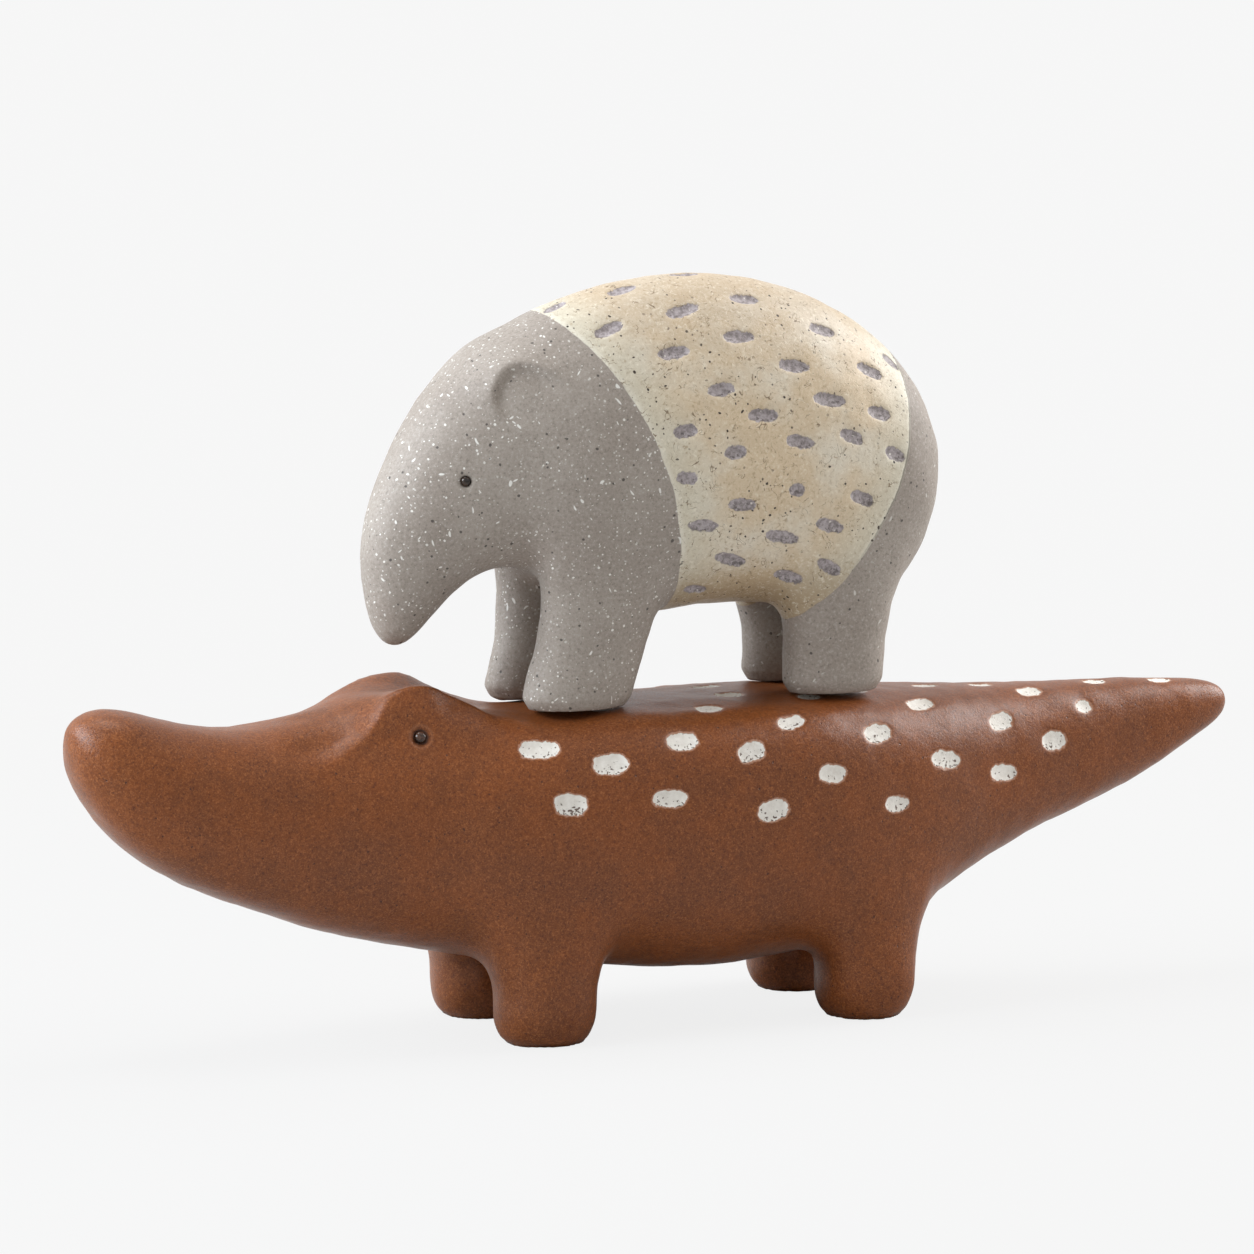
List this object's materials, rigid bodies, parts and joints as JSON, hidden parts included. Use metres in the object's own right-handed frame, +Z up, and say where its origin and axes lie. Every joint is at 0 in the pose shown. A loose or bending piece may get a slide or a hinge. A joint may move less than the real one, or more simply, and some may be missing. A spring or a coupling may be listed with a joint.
{
  "type": "resin animal sculpture",
  "caption": "Shelf sculpture in painted resin: a speckled grey tapir with a cream saddle stands on the long level back of a brown crocodile.",
  "frame": {"origin": "on the floor under the middle of the sculpture's length and width", "axes": "+X from the crocodile's nose towards its tail, +Y across to the far flank, +Z up"},
  "size_m": [0.3214, 0.0688, 0.189],
  "materials": {
    "crocodile": "brown satin glaze over resin, with white rubbed into hollowed spots",
    "tapir": "grey stone-like resin with pale and dark flecks, and a cream glazed saddle with hollowed grey dashes"
  },
  "bodies": {
    "root": {"crocodile": "crocodile", "tapir": "tapir"}
  },
  "joints": []
}
